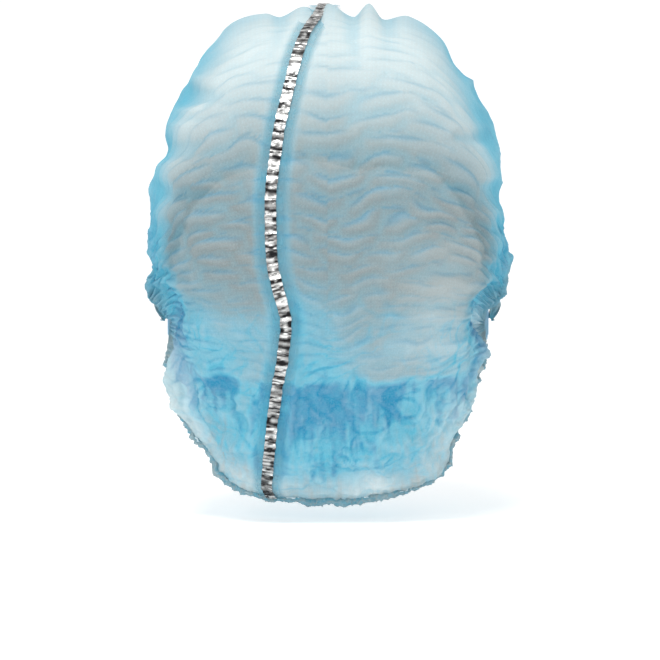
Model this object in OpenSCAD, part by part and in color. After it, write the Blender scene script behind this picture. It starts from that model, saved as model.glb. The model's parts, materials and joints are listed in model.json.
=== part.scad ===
// Disposable pleated clip cap of non-woven fabric, with elastic edges and a foil strip.
// Millimetres. +Z up, the wearer faces -Y, +X is the wearer's left.
// The origin is the middle of the head opening, halfway between the two end welds.
// Every pleat runs from one end weld to the other, so a point of the web is given by
// a fan angle about the line through the welds (0 = straight back, 90 = straight up)
// and an arch angle in that fan plane (0 = the middle, -90 and 90 = the welds).

/* [Web, seen from behind] */
// Half width of the crown at its fullest
crown_half_w = 85; // [72:1:102]
// Half width of the web round the nape
nape_half_w = 77; // [66:1:92]
// Half width of the web over the brow
brow_half_w = 78; // [66:1:94]
// Half distance between the two end welds
weld_half_span = 74; // [62:1:82]
// Squareness of the crown's arch (2 = ellipse)
crown_square = 2.8; // [2.2:0.1:3.2]
// Squareness of the arch at the nape and brow edges
edge_square = 3.0; // [2.4:0.1:3.4]

/* [Web, seen from the side: distances from the weld line] */
// Crown height above the end welds
crown_r = 150; // [125:1:180]
// Reach to the upper back of the head
upper_back_r = 114; // [100:1:136]
// Reach to the fullest part of the back of the head
back_r = 100; // [86:1:110]
// Reach at the pinch under the back of the head
pinch_r = 80; // [68:1:86]
// Reach to the fullest part of the bag below the pinch
bag_r = 90; // [80:1:104]
// Reach to the rear hem
rear_hem_r = 92; // [78:1:104]
// Reach to the web at the brow, where the brow web laps over the crown web
brow_r = 149; // [124:1:178]
// Reach to the front hem
front_hem_r = 123; // [104:1:140]

/* [Fan angles] */
// Rear hem
rear_hem_deg = -64; // [-76:1:-58]
// Upper edge of the nape web
nape_lap_deg = -20; // [-24:1:-16]
// Front hem
front_hem_deg = 142; // [138:1:154]
// Upper edge of the brow web
brow_lap_deg = 116; // [110:1:120]
// How far the nape and brow webs lap over the crown web
lap_deg = 9; // [5:1:11]

/* [Thickness and clearance] */
// Thickness of the web with its pleats pressed together
web_t = 0.6; // [0.4:0.1:1]
// Thickness of the carrier tape
carrier_t = 0.3; // [0.2:0.05:0.5]
// Thickness of the foil strip with its crinkles
foil_t = 0.3; // [0.2:0.05:0.5]
// Gap between layers that lie on each other
layer_gap = 0.35; // [0.3:0.05:0.6]

/* [Foil strip] */
// Width of the foil strip
foil_w = 5; // [3:0.5:8]
// Width of the carrier tape under it
carrier_w = 14; // [9:0.5:18]

/* [Hems and elastic] */
// Outer radius of the hem, a tube of folded web
hem_r = 2.3; // [2.1:0.1:3]
// Wall of the hem
hem_wall = 0.55; // [0.4:0.05:0.6]
// Radius of one elastic strand
elastic_r = 0.5; // [0.4:0.05:0.6]
// Distance between the middles of the two strands in a hem
elastic_pitch = 1.5; // [1.4:0.05:1.6]

/* [End welds] */
// Clearance between the fused pleat stack and the hole in the webs round it
weld_seat_gap = 0.4; // [0.3:0.1:2]
// Width across the flats of the stack
weld_w = 9.5; // [7:0.1:12]
// Thickness of the stack
weld_t = 3; // [2:0.1:4]
// Radius of the hole in the webs round the weld
weld_hole_r = 8.6; // [8.4:0.1:12]
// Radius of the dimple that the welds draw into the sides
dimple_r = 22; // [16:1:30]
// Depth up to which the dimple keeps that radius; a deeper one widens in proportion
dimple_depth = 11; // [8:1:16]
// How far the free tail stands out from the weld
tail_len = 8; // [5:0.5:11]
// Height of the free tail
tail_h = 15; // [10:0.5:18]
// Thickness of the free tail
tail_t = 1.6; // [1:0.1:2.4]

/* [Hidden] */

arch_steps = 44;          // columns of every web from weld to weld
fan_step_deg = 3.2;       // largest fan step between rows
probe_deg = 0.05;         // step of the slope measurements
hem_share = 0.985;         // share of the arch that the hems cover
tube_sides = 8;
strand_sides = 6;

// The web's reach in the middle plane: fan angle, distance from the weld line.
reach_profile = [
    [rear_hem_deg, rear_hem_r],
    [(rear_hem_deg + nape_lap_deg - lap_deg) / 2, bag_r],
    [nape_lap_deg - lap_deg - 1, pinch_r],
    [nape_lap_deg + 1, pinch_r],
    [20, back_r],
    [36, upper_back_r],
    [62, upper_back_r + 0.8 * (crown_r - upper_back_r)],
    [92, crown_r],
    [brow_lap_deg - 1, brow_r],
    [brow_lap_deg + lap_deg + 1, brow_r],
    [front_hem_deg, front_hem_r]];

// The foil strip's middle line: fan angle, distance to the wearer's left.
strip_line = [[-64, 27], [-57, 30], [-25, 25], [4, 19], [28, 26], [44, 23], [66, 11], [90, 2], [142, -3]];

weld_r = weld_hole_r - weld_seat_gap;   // radius of the fused pleat stack

// Layers counted outwards from the middle of the crown web.
crown_out = web_t / 2;
lap_mid = web_t + layer_gap;
lap_out = lap_mid + web_t / 2;
carrier_up = layer_gap + carrier_t / 2;
foil_up = 2 * layer_gap + carrier_t + foil_t / 2;

// Smooth curve through a table of [place, value] rows, without overshoot.
function slope(t, i) = (t[i + 1][1] - t[i][1]) / (t[i + 1][0] - t[i][0]);
function tangent(t, i) =
    i == 0 ? slope(t, 0) :
    i == len(t) - 1 ? slope(t, i - 1) :
    slope(t, i - 1) * slope(t, i) <= 0 ? 0 :
    2 * slope(t, i - 1) * slope(t, i) / (slope(t, i - 1) + slope(t, i));
function span_of(t, a, i = 0) = i >= len(t) - 2 || a < t[i + 1][0] ? i : span_of(t, a, i + 1);
function through(t, a) =
    let (i = span_of(t, a), w = t[i + 1][0] - t[i][0], u = (a - t[i][0]) / w)
    t[i][1] * (1 + 2 * u) * (1 - u) ^ 2 + t[i + 1][1] * u ^ 2 * (3 - 2 * u)
    + w * (tangent(t, i) * u * (1 - u) ^ 2 - tangent(t, i + 1) * u ^ 2 * (1 - u));

// Share of the way from place a to place b, eased at both ends.
function ease(a, b, p) = let (u = max(0, min(1, (p - a) / (b - a)))) u * u * (3 - 2 * u);

// How much of the crown's own width and squareness holds at a fan angle.
function crown_share(fan) = ease(nape_lap_deg, 26, fan) * (1 - ease(96, brow_lap_deg, fan));
function edge_w(fan) = fan < 60 ? nape_half_w : brow_half_w;
function half_w(fan) = edge_w(fan) + (crown_half_w - edge_w(fan)) * crown_share(fan);
function square_n(fan) = edge_square + (crown_square - edge_square) * crown_share(fan);

// One point of the middle surface.
function web_at(fan, arch) =
    let (n = square_n(fan), w = half_w(fan), r_mid = through(reach_profile, fan),
        rho = (abs(sin(arch) / w) ^ n + abs(cos(arch) / r_mid) ^ n) ^ (-1 / n),
        r = rho * cos(arch),
        widened = max(1, (w - weld_half_span) / dimple_depth),
        drawn_to = weld_hole_r + (dimple_r - weld_hole_r) * widened,
        drawn_in = 1 + (weld_half_span / w - 1) * (1 - ease(weld_hole_r, drawn_to, r)))
    [rho * sin(arch) * drawn_in, r * cos(fan), r * sin(fan)];

function unit(v) = v / norm(v);
function along_arch(fan, arch) = unit(web_at(fan, arch + probe_deg) - web_at(fan, arch - probe_deg));
function along_fan(fan, arch) = unit(web_at(fan + probe_deg, arch) - web_at(fan - probe_deg, arch));
function outward(fan, arch) = unit(cross(along_fan(fan, arch), along_arch(fan, arch)));
function web_off(fan, arch, up) = web_at(fan, arch) + up * outward(fan, arch);

// Arch angle at a share of the way from one end weld's hole to the other's.
function arch_of(fan, share) = (90 - asin(weld_hole_r / half_w(fan))) * (2 * share - 1);
function reach_at(fan, arch) = norm([web_at(fan, arch)[1], web_at(fan, arch)[2]]);

// A closed solid between two grids of points, front(i, j) and back(i, j).
module between(rows, cols, front, back) {
    count = (rows + 1) * (cols + 1);
    points = concat(
        [for (i = [0:rows], j = [0:cols]) front(i, j)],
        [for (i = [0:rows], j = [0:cols]) back(i, j)]);
    at = function(i, j) i * (cols + 1) + j;
    skins = [for (i = [0:rows - 1], j = [0:cols - 1], t = [0:3])
        let (a = at(i, j), b = at(i, j + 1), c = at(i + 1, j + 1), d = at(i + 1, j))
        [[a, b, c], [a, c, d], [a + count, c + count, b + count], [a + count, d + count, c + count]][t]];
    side = function(a, b) [[a, b + count, b], [a, a + count, b + count]];
    ends = [for (j = [0:cols - 1], t = [0:3])
        concat(side(at(0, j), at(0, j + 1)), side(at(rows, j + 1), at(rows, j)))[t]];
    flanks = [for (i = [0:rows - 1], t = [0:3])
        concat(side(at(i + 1, 0), at(i, 0)), side(at(i, cols), at(i + 1, cols)))[t]];
    polyhedron(points, concat(skins, ends, flanks), convexity = 10);
}

// A shell of the web from weld to weld, between two fan angles that may change along the arch.
module web(from_fan, to_fan, mid) {
    rows = ceil(abs(to_fan(0.5) - from_fan(0.5)) / fan_step_deg);
    fan = function(i, share) from_fan(share) + (to_fan(share) - from_fan(share)) * i / rows;
    at = function(i, share, up) web_off(fan(i, share), arch_of(fan(i, share), share), mid + up);
    between(rows, arch_steps,
        function(i, j) at(i, j / arch_steps, web_t / 2),
        function(i, j) at(i, j / arch_steps, -web_t / 2));
}

// A band that lies along the foil strip's middle line.
module band(from_fan, to_fan, width, mid, thick, cols) {
    rows = ceil((to_fan - from_fan) / fan_step_deg);
    fan = function(i) from_fan + (to_fan - from_fan) * i / rows;
    arch = function(i, j) atan2(through(strip_line, fan(i)) + width * (j / cols - 0.5),
        through(reach_profile, fan(i)));
    between(rows, cols,
        function(i, j) web_off(fan(i), arch(i, j), mid + thick / 2),
        function(i, j) web_off(fan(i), arch(i, j), mid - thick / 2));
}

// Rings of points round a path that follows a hem, shifted across it by shift.
function hem_rings(fan, radius, sides, shift) = [for (j = [0:arch_steps], k = [0:sides - 1])
    let (arch = hem_share * arch_of(fan, j / arch_steps),
        up = outward(fan, arch),
        across = unit(cross(up, along_arch(fan, arch))),
        turn = 360 * (k + 0.5) / sides)
    web_off(fan, arch, lap_mid) + across * (shift + radius * sin(turn)) + up * radius * cos(turn)];

function skin_of(sides, base, flip) = [for (j = [0:arch_steps - 1], k = [0:sides - 1], t = [0:1])
    let (n = (k + 1) % sides,
        a = base + j * sides + k, b = base + j * sides + n,
        c = base + (j + 1) * sides + n, d = base + (j + 1) * sides + k)
    flip ? [[a, b, c], [a, c, d]][t] : [[a, c, b], [a, d, c]][t]];

// A solid strand along a hem.
module strand(fan, shift) {
    last = arch_steps * strand_sides;
    polyhedron(hem_rings(fan, elastic_r, strand_sides, shift),
        concat(skin_of(strand_sides, 0, false),
            [[for (k = [0:strand_sides - 1]) k]],
            [[for (k = [strand_sides - 1:-1:0]) last + k]]), convexity = 10);
}

// A hollow tube along a hem.
module hem_tube(fan) {
    inner = (arch_steps + 1) * tube_sides;
    last = arch_steps * tube_sides;
    rim = function(at, flip) [for (k = [0:tube_sides - 1], t = [0:1])
        let (n = (k + 1) % tube_sides, a = at + k, b = at + n, c = a + inner, d = b + inner)
        flip ? [[a, d, b], [a, c, d]][t] : [[a, b, d], [a, d, c]][t]];
    polyhedron(concat(hem_rings(fan, hem_r, tube_sides, 0),
            hem_rings(fan, hem_r - hem_wall, tube_sides, 0)),
        concat(skin_of(tube_sides, 0, false), skin_of(tube_sides, inner, true),
            rim(0, false), rim(last, true)), convexity = 10);
}

// Fan angle that clears a hem by one layer gap, on the side that dir points to.
function hem_clear(fan, share, dir) =
    fan + dir * 2 * asin((hem_r + layer_gap) / 2 / reach_at(fan, arch_of(fan, share)));

module crown_web() {
    color([0.60, 0.75, 0.80])
        web(function(share) nape_lap_deg - lap_deg, function(share) brow_lap_deg + lap_deg, 0);
}

module nape_web() {
    color([0.45, 0.70, 0.82])
        web(function(share) hem_clear(rear_hem_deg, share, 1), function(share) nape_lap_deg, lap_mid);
}

module brow_web() {
    color([0.66, 0.81, 0.87])
        web(function(share) brow_lap_deg, function(share) hem_clear(front_hem_deg, share, -1), lap_mid);
}

module rear_hem() {
    color([0.42, 0.66, 0.80]) hem_tube(rear_hem_deg);
}

module front_hem() {
    color([0.50, 0.72, 0.83]) hem_tube(front_hem_deg);
}

module rear_elastic_upper() {
    color([0.93, 0.93, 0.90]) strand(rear_hem_deg, -elastic_pitch / 2);
}

module rear_elastic_lower() {
    color([0.90, 0.90, 0.87]) strand(rear_hem_deg, elastic_pitch / 2);
}

module front_elastic_upper() {
    color([0.93, 0.93, 0.90]) strand(front_hem_deg, elastic_pitch / 2);
}

module front_elastic_lower() {
    color([0.90, 0.90, 0.87]) strand(front_hem_deg, -elastic_pitch / 2);
}

// The fused stack of pleats on the wearer's left, a flat-sided disc with crimp ribs.
module end_weld() {
    rib_pitch = weld_w / 5;
    rib_h = weld_t / 6;
    translate([weld_half_span + lap_out - weld_t, 0, 0]) rotate([0, 90, 0]) {
        linear_extrude(weld_t) intersection() {
            circle(weld_r, $fn = 64);
            square([2 * weld_r, weld_w], center = true);
        }
        for (k = [-1:1])
            translate([-0.7 * weld_r, (k - 0.25) * rib_pitch, weld_t])
                cube([1.4 * weld_r, rib_pitch / 2, rib_h]);
    }
}

module left_end_weld() {
    color([0.36, 0.60, 0.74]) end_weld();
}

module right_end_weld() {
    color([0.36, 0.60, 0.74]) mirror([1, 0, 0]) end_weld();
}

// The free ends of the pleats beyond the weld, a small notched fan that points up and out.
module end_tail() {
    base_x = weld_half_span + lap_out + weld_t / 6;
    translate([base_x, tail_t / 2, 0]) rotate([90, 0, 0]) linear_extrude(tail_t)
        polygon([[0, -0.5 * weld_r], [0.45 * tail_len, -0.3 * tail_h], [0.75 * tail_len, 0.05 * tail_h],
            [0.7 * tail_len, 0.3 * tail_h], [tail_len, 0.55 * tail_h], [0.85 * tail_len, 0.7 * tail_h],
            [0.95 * tail_len, tail_h], [0.35 * tail_len, 0.6 * tail_h], [0, 0.6 * weld_r]]);
}

module left_end_tail() {
    color([0.55, 0.76, 0.86]) end_tail();
}

module right_end_tail() {
    color([0.55, 0.76, 0.86]) mirror([1, 0, 0]) end_tail();
}

// Fan angles between which each web carries its own length of tape and foil.
crown_band = [nape_lap_deg + 1, brow_lap_deg - 1];
nape_band = [hem_clear(rear_hem_deg, 0.5, 1) + 0.5, nape_lap_deg - 0.5];
brow_band = [brow_lap_deg + 0.5, hem_clear(front_hem_deg, 0.5, -1) - 0.5];
carrier_cols = 4;
foil_cols = 2;

module foil_carrier_crown() {
    color([0.47, 0.63, 0.68])
        band(crown_band[0], crown_band[1], carrier_w, crown_out + carrier_up, carrier_t, carrier_cols);
}

module foil_carrier_nape() {
    color([0.42, 0.62, 0.70])
        band(nape_band[0], nape_band[1], carrier_w, lap_out + carrier_up, carrier_t, carrier_cols);
}

module foil_carrier_brow() {
    color([0.47, 0.63, 0.68])
        band(brow_band[0], brow_band[1], carrier_w, lap_out + carrier_up, carrier_t, carrier_cols);
}

module foil_strip_crown() {
    color([0.80, 0.80, 0.78])
        band(crown_band[0], crown_band[1], foil_w, crown_out + foil_up, foil_t, foil_cols);
}

module foil_strip_nape() {
    color([0.76, 0.76, 0.74])
        band(nape_band[0], nape_band[1], foil_w, lap_out + foil_up, foil_t, foil_cols);
}

module foil_strip_brow() {
    color([0.80, 0.80, 0.78])
        band(brow_band[0], brow_band[1], foil_w, lap_out + foil_up, foil_t, foil_cols);
}

crown_web();
nape_web();
brow_web();
rear_hem();
front_hem();
rear_elastic_upper();
rear_elastic_lower();
front_elastic_upper();
front_elastic_lower();
left_end_weld();
right_end_weld();
left_end_tail();
right_end_tail();
foil_carrier_crown();
foil_carrier_nape();
foil_carrier_brow();
foil_strip_crown();
foil_strip_nape();
foil_strip_brow();
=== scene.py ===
import json
from math import radians

import bpy
import numpy as np
from bpy.props import FloatProperty, FloatVectorProperty, IntProperty, PointerProperty
from bpy.types import Operator, Panel, PropertyGroup
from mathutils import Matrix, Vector

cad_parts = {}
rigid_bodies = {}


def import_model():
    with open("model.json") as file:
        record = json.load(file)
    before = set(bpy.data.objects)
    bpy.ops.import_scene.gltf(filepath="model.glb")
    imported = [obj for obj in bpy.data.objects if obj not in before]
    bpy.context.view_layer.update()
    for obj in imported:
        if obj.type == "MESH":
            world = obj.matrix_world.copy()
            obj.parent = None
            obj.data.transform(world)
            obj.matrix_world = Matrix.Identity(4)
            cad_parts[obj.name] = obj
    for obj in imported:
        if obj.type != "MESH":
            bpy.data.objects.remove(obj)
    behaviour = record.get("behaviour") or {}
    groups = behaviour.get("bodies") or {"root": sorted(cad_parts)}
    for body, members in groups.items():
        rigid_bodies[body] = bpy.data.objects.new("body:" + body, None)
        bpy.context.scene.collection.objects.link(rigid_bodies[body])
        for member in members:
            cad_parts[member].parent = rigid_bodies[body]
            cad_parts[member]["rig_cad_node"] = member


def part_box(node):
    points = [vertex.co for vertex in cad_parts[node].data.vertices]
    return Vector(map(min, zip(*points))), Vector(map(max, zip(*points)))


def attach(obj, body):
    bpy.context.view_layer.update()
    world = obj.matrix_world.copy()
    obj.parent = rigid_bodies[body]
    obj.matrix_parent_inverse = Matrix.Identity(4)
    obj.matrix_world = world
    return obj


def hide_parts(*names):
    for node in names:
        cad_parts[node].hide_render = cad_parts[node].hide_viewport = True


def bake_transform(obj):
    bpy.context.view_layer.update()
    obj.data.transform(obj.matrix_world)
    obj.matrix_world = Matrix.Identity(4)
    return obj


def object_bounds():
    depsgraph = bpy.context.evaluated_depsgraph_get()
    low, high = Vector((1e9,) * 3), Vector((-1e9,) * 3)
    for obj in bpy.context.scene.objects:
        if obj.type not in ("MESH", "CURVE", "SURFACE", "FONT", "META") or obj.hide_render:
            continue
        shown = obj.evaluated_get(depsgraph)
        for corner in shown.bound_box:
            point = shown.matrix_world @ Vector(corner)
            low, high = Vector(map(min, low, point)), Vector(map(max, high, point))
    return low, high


bl_info = {
    "name": "Pleated clip cap",
    "version": (1, 0, 0),
    "blender": (4, 5, 0),
    "location": "View3D > Sidebar > Clip cap",
    "description": "Builds a disposable pleated clip cap with elastic edges and a foil strip",
    "category": "Add Mesh",
}

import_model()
CAD_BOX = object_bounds()
CROWN_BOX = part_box("crown_web")
WELD_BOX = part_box("left_end_weld")

MM = 0.001

# Fan angles in degrees: 0 points straight back from the weld line, 90 straight up.
REAR_HEM_FAN = -64.0
FRONT_HEM_FAN = 142.0
SEAM_FAN = 102.0
NAPE_LAP_FAN = -20.0
BROW_LAP_FAN = 116.0
LAP_DEG = 9.0

# Rows (fan angle, distance from the weld line in mm) of the web's middle line, below the crown.
PINCH_REACH = 80.0
BAG_REACH = 90.0
BACK_REACH = 100.0
UPPER_BACK_REACH = 114.0
BROW_REACH = 149.0

# Half widths in mm and squareness of the arches.
NAPE_HALF_W = 74.5
BROW_HALF_W = 78.0
CROWN_SQUARE = 2.8
EDGE_SQUARE = 3.0
DIMPLE_R = 22.0
WELD_HOLE_R = 8.6

# The foil strip's middle line: fan angle, distance to the wearer's left in mm.
STRIP_LINE = np.array([
    [-64, 27], [-57, 30], [-46, 28.5], [-33, 26], [-20, 23.5], [-8, 20.5], [3, 19], [12, 22.5], [20, 25.5],
    [32, 26], [44, 23], [56, 16.5], [66, 11.5], [78, 5], [90, 2], [110, 0], [142, -3]], float)

# Extra columns of web that close the ring round each end weld.
COLLAR_STEPS = 3

# Widths in mm of the carrier tape and of the foil on it.
TAPE_WIDTH = 16.0
FOIL_WIDTH = 5.2

# Flat width and length in metres of each half of the web, as it lies opened over the crown and not
# the whole cut: the cloth that stays in shut pleats, about as much again, isn't modelled.
REAR_WEB_OPENED = (0.40, 0.24)
FRONT_WEB_OPENED = (0.36, 0.07)

# Metres from the camera to the cap, and the width that its view takes in there.
CAMERA_DISTANCE = 1.8
FRAME_WIDTH = 0.312

# ---------------------------------------------------------------------------
# Shape functions
# ---------------------------------------------------------------------------


def ease(low, high, value):
    """0 below low, 1 above high, and the cubic 3t^2 - 2t^3 between."""
    t = np.clip((np.asarray(value, float) - low) / (high - low), 0, 1)
    return t * t * (3 - 2 * t)


def bump(centre, width, value):
    """A bell: e to the minus square of the distance from centre over width."""
    return np.exp(-((np.asarray(value, float) - centre) / width) ** 2)


def through(rows, place):
    """A cubic curve through (place, value) rows whose slopes are harmonic means, so it never overshoots."""
    x, y = rows[:, 0], rows[:, 1]
    step = np.diff(x)
    slope = np.diff(y) / step
    both = slope[:-1] * slope[1:]
    inner = np.where(both > 0, 2 * both / np.where(both > 0, slope[:-1] + slope[1:], 1), 0)
    tangent = np.concatenate([[slope[0]], inner, [slope[-1]]])
    i = np.clip(np.searchsorted(x, place, side="right") - 1, 0, len(x) - 2)
    u = (place - x[i]) / step[i]
    return (y[i] * (1 + 2 * u) * (1 - u) ** 2 + y[i + 1] * u * u * (3 - 2 * u)
            + step[i] * (tangent[i] * u * (1 - u) ** 2 - tangent[i + 1] * u * u * (1 - u)))


def reach_rows(shape):
    """(fan angle, reach in mm) rows of the middle line, from the frame's own heights."""
    crown, back = shape.crown_reach / MM, UPPER_BACK_REACH
    rear, front = shape.rear_hem_reach / MM, shape.front_hem_reach / MM
    return np.array([
        [REAR_HEM_FAN, rear], [(REAR_HEM_FAN + NAPE_LAP_FAN - LAP_DEG) / 2, BAG_REACH],
        [NAPE_LAP_FAN - LAP_DEG - 1, PINCH_REACH], [NAPE_LAP_FAN + 1, PINCH_REACH],
        [20, BACK_REACH], [36, back], [62, back + 0.8 * (crown - back)], [92, crown],
        [BROW_LAP_FAN - 1, BROW_REACH], [BROW_LAP_FAN + LAP_DEG + 1, BROW_REACH], [FRONT_HEM_FAN, front]])


def crown_share(fan):
    """1 where the arch has the crown's own width and squareness, 0 where it has an edge's."""
    return ease(0, 40, fan) * (1 - ease(96, BROW_LAP_FAN, fan))


def half_width(shape, fan):
    """Half of the arch's width in mm: the nape's or the brow's, eased to the crown's between them."""
    edge_w = np.where(np.asarray(fan) < 60, NAPE_HALF_W, BROW_HALF_W)
    return edge_w + (shape.crown_half_width / MM - edge_w) * crown_share(fan)


def widest_arch(half_w):
    """The arch angle, in radians from the middle, at which the web meets the ring round a weld."""
    return np.pi / 2 - np.arcsin(WELD_HOLE_R / half_w)


def web_point(shape, fan, share):
    """A point of the web in mm. In the plane at the fan angle the arch is the superellipse
    |x/w|^n + |r/reach|^n = 1, met by a ray at the arch angle, and near the welds x is drawn in."""
    fan, share = np.broadcast_arrays(np.asarray(fan, float), np.asarray(share, float))
    own = crown_share(fan)
    half_w = half_width(shape, fan)
    n = EDGE_SQUARE + (CROWN_SQUARE - EDGE_SQUARE) * own - 0.25 * ease(-24, -60, fan)
    reach = through(reach_rows(shape), fan)
    arch = widest_arch(half_w) * (2 * share - 1)
    rho = (np.abs(np.sin(arch) / half_w) ** n + np.abs(np.cos(arch) / reach) ** n) ** (-1 / n)
    r = rho * np.cos(arch)
    weld_x = shape.weld_half_span / MM
    drawn = 1 + (weld_x / half_w - 1) * (1 - ease(WELD_HOLE_R, DIMPLE_R, r))
    drawn = drawn - 0.035 * ease(-20, -60, fan) * ease(WELD_HOLE_R, 50, r)
    a = np.radians(fan)
    return np.stack([rho * np.sin(arch) * drawn, r * np.cos(a), r * np.sin(a)], -1)


def unit(v):
    """Vectors scaled to length 1."""
    return v / np.maximum(np.linalg.norm(v, axis=-1, keepdims=True), 1e-9)


def outward(shape, fan, share):
    """The web's outward direction: the cross product of its slopes along the fan and along the arch."""
    d = 0.05
    along_fan = web_point(shape, fan + d, share) - web_point(shape, fan - d, share)
    along_arch = web_point(shape, fan, share + d / 180) - web_point(shape, fan, share - d / 180)
    return unit(np.cross(along_fan, along_arch))


def share_of(shape, fan, x):
    """The share of the arch at which the web is x mm to the wearer's left, near the middle."""
    reach = through(reach_rows(shape), fan)
    return 0.5 + 0.5 * np.arctan2(x, reach) / widest_arch(half_width(shape, fan))


# ---------------------------------------------------------------------------
# Noise
# ---------------------------------------------------------------------------


def lattice(ix, iy, iz, seed):
    """A repeatable random number from -1 to 1 for each whole-number lattice point."""
    h = (ix * 374761393 + iy * 668265263 + iz * 2147483647 + seed * 1274126177) & 0xFFFFFFFF
    h = ((h ^ (h >> 13)) * 1274126177) & 0xFFFFFFFF
    h = ((h ^ (h >> 16)) * 668265263) & 0xFFFFFFFF
    return ((h ^ (h >> 15)) & 0xFFFFFF) / float(0x7FFFFF) - 1.0


def spot(*places):
    """Points whose coordinates are these arrays or numbers, stretched to one shape."""
    return np.stack(np.broadcast_arrays(*[np.asarray(place, float) for place in places]), -1)


def noise(p, seed=0):
    """Smooth noise from -1 to 1: lattice values mixed by quintic weights along each axis."""
    p = np.asarray(p, float)
    base = np.floor(p).astype(np.int64)
    f = p - base
    w = f * f * f * (f * (f * 6 - 15) + 10)
    total = np.zeros(p.shape[:-1])
    for dx in (0, 1):
        for dy in (0, 1):
            for dz in (0, 1):
                share = ((w[..., 0] if dx else 1 - w[..., 0]) * (w[..., 1] if dy else 1 - w[..., 1])
                         * (w[..., 2] if dz else 1 - w[..., 2]))
                total += share * lattice(base[..., 0] + dx, base[..., 1] + dy, base[..., 2] + dz, seed)
    return total


def creases(p, seed=0, octaves=3):
    """Crumpled cloth: sharp ridges where the noise crosses zero, at sizes that halve, from 0 to about 1."""
    total, weight, size = 0.0, 0.0, 1.0
    for k in range(octaves):
        q = p * size + 17.3 * k
        total = total + (1 - np.abs(noise(q, seed + k)) * 1.6).clip(0, 1) ** 2 * 0.55 ** k
        weight += 0.55 ** k
        size *= 2.03
    return total / weight


# ---------------------------------------------------------------------------
# How the web is wrinkled
# ---------------------------------------------------------------------------

# Puffs of the web: fan angle, share of the arch, reach across in mm, height in mm.
# A share over 0.5 is on the wearer's left.
PUFFS = np.array([
    [86, 0.660, 12, 1.0], [70, 0.80, 14, 1.0], [60, 0.17, 13, 1.0],
    [16, 0.88, 16, -4.5], [14, 0.12, 16, -7.0], [-24, 0.91, 9, -6.0], [-4, 0.07, 9, -5.0],
    [-32, 0.875, 15, 5.5], [-44, 0.84, 12, 4.5], [-22, 0.12, 9, 5.5], [-34, 0.13, 8, -2.5],
    [-39, 0.10, 13, -5.0], [-44, 0.18, 9, 1.0], [-50, 0.19, 6, -2.5], [-57, 0.215, 9, -6.0],
    [-60, 0.30, 9, 5.0], [-52, 0.36, 9, -2.0], [-45, 0.62, 12, 2.5], [-40, 0.42, 12, 2.0],
    [-57, 0.50, 10, -1.5], [-58, 0.72, 11, -4.0], [-50, 0.80, 8, 3.0]], float)

# Grooves that run over the top: mm to the wearer's left, height in mm.
TOP_GROOVES = np.array([
    [-200, 0], [-60, 0], [-44, 0.8], [-38, 0.6], [-27.3, -4.8], [-18.7, 1.8], [-12.3, -6.0], [0, 0.9],
    [4.7, -3.0], [10.9, -0.6], [22.5, -4.6], [30, -1.0], [45, 1.4], [60, 0], [200, 0]], float)

# Where more layers lie on each other, and where one layer is pulled sheer: fan angle, share of the
# arch, reach in mm, amount.
LAYERED = np.array([
    [0, 0.80, 24, 0.34], [-12, 0.70, 16, 0.30], [-2, 0.93, 20, 0.22], [4, 0.545, 11, 0.26],
    [-14, 0.52, 13, 0.26], [-30, 0.505, 17, 0.30], [-6, 0.09, 17, 0.36], [-14, 0.22, 14, 0.24],
    [-44, 0.60, 13, 0.18], [34, 0.93, 20, 0.10], [40, 0.06, 20, 0.10], [-50, 0.47, 11, 0.16],
    [-36, 0.36, 12, 0.12]], float)
SHEER = np.array([
    [-34, 0.87, 19, 0.50], [-50, 0.82, 14, 0.42], [-34, 0.13, 13, 0.45], [-50, 0.20, 13, 0.50],
    [-22, 0.05, 11, 0.35], [-58, 0.42, 11, 0.40], [-40, 0.26, 15, 0.35], [-58, 0.62, 13, 0.35],
    [14, 0.30, 26, 0.22], [-2, 0.30, 20, 0.20]], float)

# How many of the sheer places, from the first, also let light straight through.
SEE_THROUGH = 6
RIBS_PER_TURN = 72


def bells(shape, places, points):
    """The sum of bells at (fan angle, share, reach in mm, amount) places on the web."""
    total = 0.0
    for fan, share, reach, amount in places:
        centre = web_point(shape, fan, share)
        total = total + amount * np.exp(-(np.linalg.norm(points - centre, axis=-1) / reach) ** 2)
    return total


def strip_distance(shape, fan, points):
    """Distance in mm from the strip's middle line at the same fan angle, over 0 on the wearer's left."""
    line = web_point(shape, fan, share_of(shape, fan, through(STRIP_LINE, fan)))
    return np.linalg.norm(points - line, axis=-1) * np.sign(points[..., 0] - line[..., 0])


def hem_scallop(share, side):
    """How far a hem hangs past its fan angle, in mm: slow waves with small gathers on them."""
    wave = noise(spot(share * 9.0, side, 0), 31)
    small = noise(spot(share * 26.0, side, 4), 32)
    return (3.2 * wave + 2.0 * small - 0.8) * ease(0, 0.16, share) * ease(0, 0.16, 1 - share)


# Displacements in mm that the settled cloth adds, on its own grid of fan angles and shares.
SETTLED = {}


def read_grid(grid, row, col):
    """A (rows, columns, 3) grid read at fractional places, by cubic weights along both ways."""
    def weights(t):
        return [(-t + 2 * t ** 2 - t ** 3) / 2, (2 - 5 * t ** 2 + 3 * t ** 3) / 2,
                (t + 4 * t ** 2 - 3 * t ** 3) / 2, (-t ** 2 + t ** 3) / 2]

    i = np.clip(np.floor(row).astype(int), 0, grid.shape[0] - 2)
    j = np.clip(np.floor(col).astype(int), 0, grid.shape[1] - 2)
    total = 0.0
    for m, down in enumerate(weights(row - i)):
        for n, over in enumerate(weights(col - j)):
            tap = grid[np.clip(i + m - 1, 0, grid.shape[0] - 1), np.clip(j + n - 1, 0, grid.shape[1] - 1)]
            total = total + (down * over)[..., None] * tap
    return total


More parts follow.
